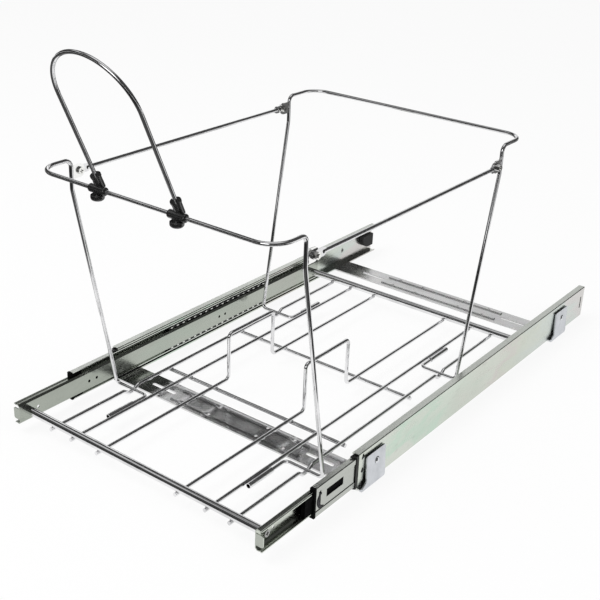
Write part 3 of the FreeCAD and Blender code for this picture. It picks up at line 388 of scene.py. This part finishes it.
def bright_screw(name, tone):
    """Screw steel with fine clouding and a slight grain."""
    material, graph, shader = principled(name, 1.0, 0.2)
    base = graph.ramp(graph.noise(300, detail=3), [
        (0.35, (tone * 0.78, tone * 0.78, tone * 0.75)),
        (0.65, (tone, tone, tone * 0.98)),
    ])
    graph.link(base, shader.inputs["Base Color"])
    graph.link(graph.spread(graph.noise(500, detail=3), 0.05, 0.14), shader.inputs["Roughness"])
    graph.link(graph.bump(graph.noise(900, detail=2), 0.08, 0.0002), shader.inputs["Normal"])
    return material


def moulded(name, tone, roughness, gloss, coat=0.0, grain=900, ior=1.5):
    """Black moulded plastic with a fine grain and slightly worn, paler places."""
    material, graph, shader = principled(name, 0.0, 0.4)
    worn = graph.noise(120, detail=5, rough=0.6)
    base = graph.ramp(worn, [(0.40, tone), (0.72, tone * 2.2)])
    graph.link(base, shader.inputs["Base Color"])
    graph.link(graph.spread(graph.noise(180, detail=4), *roughness), shader.inputs["Roughness"])
    graph.link(graph.bump(graph.noise(grain, detail=3), 0.10, 0.0002), shader.inputs["Normal"])
    shader.inputs["Specular IOR Level"].default_value = gloss
    shader.inputs["IOR"].default_value = ior
    shader.inputs["Coat Weight"].default_value = coat
    shader.inputs["Coat Roughness"].default_value = 0.10
    return material


def ball_cage(name, strip_line, deepest, pitch, first):
    """Black plastic, with bright steel where the balls stand out of the strips.

    The strips lie strip_line above and below the slide's middle. The balls show nearer the
    rack's middle than deepest, and at the strips' edges once to a pitch from first on.
    """
    strip_half, pocket_half, strip_edge_x = 0.00078, 0.17, 0.17525
    material, graph, shader = principled(name, 0.0, 0.35)
    off_line = graph.math("SUBTRACT", graph.reach("Z", SLIDE_MIDDLE_Z), strip_line)
    stands_out = graph.math("GREATER_THAN", graph.math("ABSOLUTE", off_line), strip_half)
    ball = graph.both(stands_out, graph.math("LESS_THAN", graph.reach("X"), deepest))
    turns = graph.math("DIVIDE", graph.math("SUBTRACT", graph.axis("Y"), first), pitch)
    beside = graph.math("ABSOLUTE", graph.math("SUBTRACT", graph.math("FRACT", turns), 0.5))
    pocket = graph.math("LESS_THAN", beside, pocket_half)
    at_edge = graph.math("LESS_THAN", graph.reach("X"), strip_edge_x)
    steel = graph.math("MAXIMUM", ball, graph.both(pocket, at_edge))
    tone = graph.ramp(graph.noise(240, detail=4), [(0.4, 0.006), (0.7, 0.014)])
    graph.link(graph.mix(steel, tone, (0.72, 0.73, 0.70)), shader.inputs["Base Color"])
    graph.link(steel, shader.inputs["Metallic"])
    graph.link(graph.spread(graph.noise(200, detail=4), 0.22, 0.42), shader.inputs["Roughness"])
    graph.link(graph.bump(graph.noise(800, detail=3), 0.06, 0.0002), shader.inputs["Normal"])
    shader.inputs["Specular IOR Level"].default_value = 0.3
    return material


def dress(material, names):
    """Give the named nodes a material."""
    for name in names:
        node = nodes[name]
        node.data.materials.clear()
        node.data.materials.append(material)


def smooth(mesh):
    for polygon in mesh.polygons:
        polygon.use_smooth = True


def both_sides(prefix):
    return [f"{prefix}_{side}" for side in SIDES]


def both_ends(prefix):
    return [f"{prefix}_{end}" for end in ENDS]


def centre_of(name):
    low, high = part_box(name)
    return (low + high) / 2


def finish_slides():
    """The six slide members and the floor strips, each with its own tone and shine."""
    slides = zinc_sheet("slide_zinc", (0.665, 0.69, 0.645), (0.575, 0.60, 0.56), 0.9)
    dress(slides, both_sides("slide_outer"))
    # Painted shade on the middle members' outward faces, which are darker. The inner members' low
    # tone is painted shade on their faces toward the tray, and their outward faces are painted
    # lighter.
    members = zinc_sheet("member_zinc", (0.68, 0.70, 0.66), (0.55, 0.57, 0.54), 0.35,
                         (0.16, 0.28), outward_painted_light=0.72)
    dress(members, both_sides("slide_middle"))
    inner = zinc_sheet("inner_zinc", (0.43, 0.455, 0.41), (0.33, 0.355, 0.315), 0.25,
                       (0.14, 0.26), outward_painted_light=1.4)
    dress(inner, both_sides("slide_inner"))
    shines = {"front": ((0.13, 0.26), 0.20), "rear": ((0.20, 0.32), 0.60)}
    for end, (roughness, steep_roughness) in shines.items():
        strip = f"cross_member_{end}"
        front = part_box(strip)[0][1]
        zinc = strip_zinc(f"strip_zinc_{end}", front, 0.75, roughness, steep_roughness)
        dress(zinc, [strip])


def finish_wires():
    """The tray's and the frame's wires, with their tubes, tabs and screws."""
    wires = [name for column in WIRE_COLUMNS for name in both_sides(f"tray_wire_{column}")]
    for prefix in ("tray_cross_wire", "tray_bar", "bin_frame"):
        wires += both_ends(prefix)
    wires += both_sides("side_rail") + ["handle"]
    dress(chrome_wire("wire_chrome")[0], wires)
    dress(toe_tube(), [name for end in ENDS for name in both_sides(f"toe_sleeve_{end}")])
    tabs = zinc_sheet("tab_steel", (0.94, 0.94, 0.93), (0.84, 0.84, 0.83), 0.1, (0.05, 0.14))
    dress(tabs, both_ends("bin_frame_tabs"))
    dress(bright_screw("screw_steel", 0.95), ["rail_screws", "rail_nuts"])
    dress(bright_screw("bar_screw_steel", 0.40), ["tray_bar_screws"])


def finish_black_parts():
    """The handle's clips, the stop blocks, the rear bumpers and the ball cages."""
    clips = moulded("clip_black", 0.010, (0.14, 0.28), coat=0.6, gloss=0.6)
    dress(clips, both_sides("handle_clip"))
    blocks = moulded("block_black", 0.003, (0.40, 0.55), gloss=0.5, ior=1.05)
    dress(blocks, both_sides("stop_block"))
    rubber = moulded("bumper_rubber", 0.004, (0.45, 0.7), grain=600, gloss=0.5, ior=1.08)
    dress(rubber, both_sides("rear_bumper"))
    inner_cage = ball_cage("inner_cage_black", strip_line=0.0144, deepest=0.1900,
                           pitch=0.0110, first=0.090)
    dress(inner_cage, both_sides("ball_cage_inner"))
    outer_cage = ball_cage("outer_cage_black", strip_line=0.01965, deepest=CAGE_PLATE_X,
                           pitch=0.0240, first=-0.006)
    dress(outer_cage, both_sides("ball_cage_outer"))


def finish_frame():
    """Materials and smooth shading for every node."""
    finish_slides()
    finish_wires()
    finish_black_parts()
    for node in nodes.values():
        smooth(node.data)


# Small pieces

def add_riding(name, mesh, body):
    """Put a mesh in the scene as a piece that rides on a body."""
    piece = bpy.data.objects.new(name, mesh)
    bpy.context.scene.collection.objects.link(piece)
    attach(piece, body)
    return piece


def add_piece(name, bm, material, body):
    """Turn a closed bmesh into a piece that rides on a body."""
    bmesh.ops.recalc_face_normals(bm, faces=bm.faces)
    mesh = bpy.data.meshes.new(name)
    bm.to_mesh(mesh)
    bm.free()
    mesh.materials.append(material)
    smooth(mesh)
    return add_riding(name, mesh, body)


def add_reshaped(name, node_name, body, reshape):
    """A copy of a node's mesh, with each vertex passed through reshape, in the node's place."""
    mesh = nodes[node_name].data.copy()
    for vertex in mesh.vertices:
        reshape(vertex.co)
    piece = add_riding(name, mesh, body)
    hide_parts(node_name)


def round_edges(piece, width, segments):
    bevel = piece.modifiers.new("rounded", "BEVEL")
    bevel.width = width
    bevel.segments = segments
    bevel.limit_method = "ANGLE"
    bevel.harden_normals = False
    weighted = piece.modifiers.new("flats", "WEIGHTED_NORMAL")
    weighted.keep_sharp = True


def add_lump(bm, centre, half, source, turn=Matrix.Identity(3)):
    """A squashed ball with an uneven skin; half is its size each way from the middle."""
    unevenness = 0.08
    made = bmesh.ops.create_icosphere(bm, subdivisions=2, radius=1.0)
    for vertex in made["verts"]:
        swell = 1 + source.uniform(-unevenness, unevenness)
        spot = Vector([part * size * swell for part, size in zip(vertex.co, half)])
        vertex.co = Vector(centre) + turn @ spot


def add_prism(bm, outline, low, high):
    """A solid with an outline of (y, z) points between two x planes."""
    near = [bm.verts.new((low, y, z)) for y, z in outline]
    far = [bm.verts.new((high, y, z)) for y, z in outline]
    bm.faces.new(near)
    bm.faces.new(far[::-1])
    count = len(outline)
    for index in range(count):
        after = (index + 1) % count
        bm.faces.new((near[index], far[index], far[after], near[after]))


def arc_outline(middle, radius, width, start, end, steps):
    """A band of a circle in the (y, z) plane, narrower towards its ends."""
    end_share = 0.55
    outer = []
    inner = []
    for step in range(steps + 1):
        share = step / steps
        angle = math.radians(start + (end - start) * share)
        half = width / 2 * (end_share + (1 - end_share) * math.sin(math.pi * share))
        for row, reach in ((outer, radius + half), (inner, radius - half)):
            row.append((middle[0] + reach * math.cos(angle), middle[1] + reach * math.sin(angle)))
    return outer + inner[::-1]


def lean_plates():
    """Let the bracket plates lean in against the outer members above their bend."""
    gap = BRACKET_FACE_X - OUTER_FACE_X
    hair, front_depth = 1e-5, 0.0015
    for end in ENDS:
        name = f"cross_member_{end}"
        low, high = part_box(name)
        rise = high[2] - BRACKET_BEND_Z
        plate_front = low[1] + BRACKET_SETBACK

        def reshape(spot):
            beyond = abs(spot.x) - OUTER_FACE_X
            above = spot.z - BRACKET_BEND_Z
            if beyond <= 0 or above <= 0:
                return
            lean = BRACKET_LEAN * above / rise
            moved = beyond - lean if beyond > gap - hair else beyond * (1 - lean / gap)
            spot.x = math.copysign(OUTER_FACE_X + moved, spot.x)
            if spot.y < plate_front + front_depth:
                spot.y += BRACKET_SHIFT

        add_reshaped(f"floor_strip_{end}", name, "base", reshape)


def trim_cages():
    """The outer cages' side plates end a little behind their strips' front ends."""
    front_depth, setback = 0.001, 0.0035
    for side in SIDES:
        name = f"ball_cage_outer_{side}"
        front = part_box(name)[0][1]

        def reshape(spot):
            if spot.y < front + front_depth and abs(spot.x) > CAGE_PLATE_X:
                spot.y += setback

        add_reshaped(f"outer_cage_{side}", name, "base", reshape)


def add_tray_welds(source, chrome):
    """Weld metal where the tray's wires cross and where the frame stands in the wires."""
    bar_lump = (0.0024, 0.0026, 0.0009)
    cross_lump = (0.0021, 0.0022, 0.0008)
    foot_lump = (0.0023, 0.0023, 0.0008)
    below_bar = 0.0001
    bm = bmesh.new()
    for side in SIDES:
        for column in WIRE_COLUMNS:
            x = centre_of(f"tray_wire_{column}_{side}").x
            for end in ENDS:
                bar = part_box(f"tray_bar_{end}")
                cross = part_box(f"tray_cross_wire_{end}")
                bar_y = (bar[0][1] + bar[1][1]) / 2
                cross_y = (cross[0][1] + cross[1][1]) / 2
                add_lump(bm, (x, bar_y, bar[0][2] - below_bar), bar_lump, source)
                add_lump(bm, (x, cross_y, cross[1][2]), cross_lump, source)
        wire = centre_of(f"tray_wire_outer_{side}")
        for end in ENDS:
            low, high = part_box(f"toe_sleeve_{end}_{side}")
            foot = high[1] + FOOT_STEP if end == "front" else low[1] - FOOT_STEP
            add_lump(bm, (wire.x, foot, FOOT_UNDERSIDE), foot_lump, source)
    add_piece("tray_welds", bm, chrome, "drawer")


def add_tab_welds(source, chrome):
    """Three dabs of weld metal where each leg meets its tab."""
    dab = (0.0012, 0.0012, 0.0026)
    spacing, sunk = 0.0042, 0.0002
    bm = bmesh.new()
    for end in ENDS:
        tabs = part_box(f"bin_frame_tabs_{end}")
        leg = tabs[0][1] if end == "front" else tabs[1][1]
        for side, sign in SIDE_SIGNS.items():
            middle = centre_of(f"side_rail_{side}").z
            for step in (-1, 0, 1):
                add_lump(bm, (sign * (tabs[1][0] - sunk), leg, middle + step * spacing),
                         dab, source)
    add_piece("tab_welds", bm, chrome, "drawer")


def add_welds():
    source = random.Random(11)
    chrome = chrome_wire("weld_chrome", 0.60, (0.20, 0.36))[0]
    add_tray_welds(source, chrome)
    add_tab_welds(source, chrome)


def add_stop_hooks(black):
    """The stop blocks' curved springs, flat on the middle members' outside faces."""
    sunk, proud = 0.0002, 0.00022
    outline = arc_outline(middle=(-0.0578, 0.0238), radius=0.0096, width=0.0046,
                          start=116, end=268, steps=18)
    for side, sign in SIDE_SIGNS.items():
        bm = bmesh.new()
        add_prism(bm, outline, sign * (MIDDLE_FACE_X - sunk), sign * (MIDDLE_FACE_X + proud))
        add_piece(f"stop_hook_{side}", bm, black, f"middle_{side}")


def add_mouth_lugs(black):
    """The outer cages' lugs, which show in slots by each outer member's mouth."""
    slot_y = 0.0062
    heights = (0.0068, 0.0243, 0.0405)
    half = (0.00028, 0.0012, 0.0025)
    lean = Matrix.Rotation(math.radians(-14), 3, "X")
    source = random.Random(5)
    for side, sign in SIDE_SIGNS.items():
        bm = bmesh.new()
        for height in heights:
            add_lump(bm, (sign * OUTER_FACE_X, slot_y, height), half, source, lean)
        add_piece(f"mouth_lugs_{side}", bm, black, "base")


def add_bumpers(rubber):
    """Rubber stops with a slanted lower front, in place of the plain ones."""
    proud, back_trim, height_trim = 0.001, 0.002, 0.0030
    nose_height, chin_depth, chin_height, toe_depth = 0.0090, 0.0045, 0.0048, 0.0125
    edge_radius = 0.0011
    for side, sign in SIDE_SIGNS.items():
        low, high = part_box(f"rear_bumper_{side}")
        front, back = low[1] - proud, high[1] - back_trim
        bottom, top = low[2] + height_trim, high[2] - height_trim
        outline = [
            (front, top),
            (front, top - nose_height),
            (front + chin_depth, bottom + chin_height),
            (front + toe_depth, bottom),
            (back, bottom),
            (back, top),
        ]
        web = max(abs(low[0]), abs(high[0]))
        face = min(abs(low[0]), abs(high[0]))
        bm = bmesh.new()
        add_prism(bm, outline, sign * face, sign * web)
        piece = add_piece(f"rear_stop_{side}", bm, rubber, "base")
        round_edges(piece, edge_radius, 3)
        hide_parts(f"rear_bumper_{side}")


def add_eyelets(bright):
    """Raised rims of the rear holes, on the inside of the outer members' webs."""
    radius, thickness, rise = 0.0029, 0.0009, 0.00025
    steps = 24
    profile = (
        (radius - thickness, 0),
        (radius - thickness / 2, rise),
        (radius + thickness / 2, rise),
        (radius + thickness, 0),
    )
    for side, sign in SIDE_SIGNS.items():
        bm = bmesh.new()
        rings = []
        for reach, lift in profile:
            ring = []
            for step in range(steps):
                angle = math.tau * step / steps
                ring.append(bm.verts.new((
                    sign * (OUTER_INNER_X - lift),
                    REAR_HOLE_Y + reach * math.cos(angle),
                    SLIDE_MIDDLE_Z + reach * math.sin(angle))))
            rings.append(ring)
        for first, second in zip(rings, rings[1:] + rings[:1]):
            for step in range(steps):
                after = (step + 1) % steps
                bm.faces.new((first[step], second[step], second[after], first[after]))
        add_piece(f"rear_eyelet_{side}", bm, bright, "base")


def add_small_pieces():
    block = bpy.data.materials["block_black"]
    lean_plates()
    trim_cages()
    add_welds()
    add_stop_hooks(block)
    add_mouth_lugs(block)
    add_bumpers(bpy.data.materials["bumper_rubber"])
    add_eyelets(bpy.data.materials["slide_zinc"])


# The studio

def seen(graph):
    """One for rays from the camera, off gloss or through glass."""
    path = graph.add("ShaderNodeLightPath")
    straight = graph.math("MAXIMUM", path.outputs["Is Camera Ray"], path.outputs["Is Glossy Ray"])
    return graph.math("MAXIMUM", straight, path.outputs["Is Transmission Ray"])


def add_floor():
    """A matte pale floor that is nearly white where it is seen."""
    size, sunk, glow_share = 14, 0.0002, 0.88
    mesh = bpy.data.meshes.new("floor")
    mesh.from_pydata([(-size, -size, 0), (size, -size, 0), (size, size, 0), (-size, size, 0)],
                     [], [(0, 1, 2, 3)])
    floor = bpy.data.objects.new("floor", mesh)
    floor.location.z = -sunk
    bpy.context.scene.collection.objects.link(floor)
    material, graph, output = new_material("floor")
    matte = graph.add("ShaderNodeBsdfDiffuse")
    matte.inputs["Color"].default_value = (0.93, 0.93, 0.93, 1)
    glow = graph.add("ShaderNodeEmission")
    glow.inputs["Color"].default_value = (1, 1, 1, 1)
    glow.inputs["Strength"].default_value = 1.0
    blend = graph.add("ShaderNodeMixShader")
    graph.link(graph.math("MULTIPLY", seen(graph), glow_share), blend.inputs["Fac"])
    graph.link(matte.outputs[0], blend.inputs[1])
    graph.link(glow.outputs[0], blend.inputs[2])
    graph.link(blend.outputs[0], output.inputs["Surface"])
    mesh.materials.append(material)


def add_world():
    """White to the camera; a dark room with a bright ceiling to gloss; even light to the rest."""
    world = bpy.data.worlds.new("studio")
    bpy.context.scene.world = world
    world.use_nodes = True
    graph = Graph(world.node_tree)
    output = graph.add("ShaderNodeOutputWorld")
    path = graph.add("ShaderNodeLightPath")
    source = graph.add("ShaderNodeTexCoord")
    split = graph.add("ShaderNodeSeparateXYZ")
    graph.link(source.outputs["Generated"], split.inputs[0])
    room = graph.ramp(split.outputs["Z"], [
        (0.00, 0.03),
        (0.50, 0.07),
        (0.80, 0.06),
        (0.90, 0.50),
        (0.97, 0.90),
    ])
    gloss = graph.mix(path.outputs["Is Glossy Ray"], (0.58, 0.58, 0.58), room)
    colour = graph.mix(path.outputs["Is Camera Ray"], gloss, (1.0, 1.0, 1.0))
    background = graph.add("ShaderNodeBackground")
    graph.link(colour, background.inputs["Color"])
    graph.link(background.outputs[0], output.inputs["Surface"])


def add_lamp(name, place, aim, width, height, power):
    """An area lamp that gloss doesn't see."""
    data = bpy.data.lights.new(name, "AREA")
    data.shape = "RECTANGLE"
    data.size = width
    data.size_y = height
    data.energy = power
    lamp = bpy.data.objects.new(name, data)
    direction = Vector(aim) - Vector(place)
    turn = direction.to_track_quat("-Z", "Y").to_matrix().to_4x4()
    lamp.matrix_world = Matrix.Translation(place) @ turn
    lamp.visible_glossy = False
    bpy.context.scene.collection.objects.link(lamp)


def add_card(name, corners, faces, near_tone, far_tone, axis, near, far):
    """A card that only gloss sees, with one tone at near along an axis and another at far."""
    mesh = bpy.data.meshes.new(name)
    mesh.from_pydata(corners, [], faces)
    card = bpy.data.objects.new(name, mesh)
    bpy.context.scene.collection.objects.link(card)
    material, graph, output = new_material(name)
    glow = graph.add("ShaderNodeEmission")
    share = graph.fade(graph.axis(axis), near, far)
    tone = graph.mix(share, (near_tone,) * 3, (far_tone,) * 3)
    graph.link(tone, glow.inputs["Color"])
    graph.link(glow.outputs[0], output.inputs["Surface"])
    mesh.materials.append(material)
    card.visible_camera = False
    card.visible_diffuse = False
    card.visible_shadow = False
    card.visible_transmission = False


def between(points, place):
    """The height at a place on a line through (place, height) points."""
    for (first, low), (second, high) in zip(points, points[1:]):
        if place <= second:
            return low + (high - low) * (place - first) / (second - first)
    return points[-1][1]


def add_backdrop():
    """A curved pale backdrop that only gloss sees, whiter on its left, with a dip in its top."""
    centre_y, radius, steps, foot_height = 0.2, 2.6, 26, 0.1
    start, end = 100, 152
    # Degrees up to the top edge, by degrees round from the right
    tops = ((100, 40.5), (122, 40.5), (127, 28.5), (137, 28.5), (140, 34.0), (152, 34.0))
    corners = []
    for step in range(steps + 1):
        azimuth = start + (end - start) * step / steps
        top = math.radians(between(tops, azimuth))
        outward = Vector((math.cos(math.radians(azimuth)), math.sin(math.radians(azimuth)), 0))
        foot = Vector((0, centre_y, foot_height)) + radius * outward
        corners += [foot, foot + Vector((0, 0, radius * math.tan(top) - foot_height))]
    faces = [(2 * step, 2 * step + 2, 2 * step + 3, 2 * step + 1) for step in range(steps)]
    add_card("backdrop", corners, faces, near_tone=0.76, far_tone=1.0, axis="X",
             near=-1.2, far=-1.75)


def add_softbox(name, toward, width, height, tone):
    """A bright card that only gloss sees, facing the rack from the direction toward."""
    aim_height, distance = 0.25, 2.5
    toward = Vector(toward).normalized()
    across = toward.cross(Vector((0, 0, 1))).normalized() * width / 2
    rise = across.cross(toward).normalized() * height / 2
    middle = Vector((0, 0, aim_height)) + distance * toward
    corners = [middle + a * across + b * rise for a, b in ((-1, -1), (1, -1), (1, 1), (-1, 1))]
    add_card(name, corners, [(0, 1, 2, 3)], tone, tone, "X", 0, 1)


def add_floor_cards():
    """Dark cards round the rack, just over the floor, that darken as they go out."""
    lift, far = 0.003, 4.0
    table_front, table_back, table_side = -0.235, 0.80, 0.34
    right_side, right_back = 0.30, 0.25
    # The edges at left, right, front and back, then both tones and where they are reached
    floor_cards = {
        "front": (-far, far, -far, table_front, 0.10, 0.02, "Y", table_front, -0.75),
        "rear": (-far, far, table_back, far, 0.20, 0.05, "Y", table_back, 1.6),
        "left": (-far, -table_side, table_front, table_back, 0.16, 0.05, "X", -table_side, -1.0),
        "right": (right_side, far, table_front, right_back, 0.05, 0.02, "X", right_side, 0.8),
    }
    for side, (left, right, front, back, *shade) in floor_cards.items():
        corners = [(left, front, lift), (right, front, lift), (right, back, lift),
                   (left, back, lift)]
        add_card(f"{side}_card", corners, [(0, 1, 2, 3)], *shade)


def add_studio():
    add_floor()
    add_world()
    rack_middle = (0, 0.15, 0.15)
    add_lamp("key", (-0.9, -1.1, 2.3), rack_middle, width=1.6, height=1.6, power=34)
    add_lamp("fill", (1.9, 0.4, 1.5), rack_middle, width=1.2, height=1.2, power=10)
    add_floor_cards()
    add_backdrop()
    add_softbox("front_light", (0.24, -0.90, 0.37), width=1.40, height=1.10, tone=2.6)
    add_softbox("left_light", (-0.66, -0.29, 0.70), width=1.50, height=0.66, tone=0.58)


bpy.context.scene.view_settings.view_transform = "Standard"
add_camera()
finish_frame()
add_small_pieces()
add_studio()
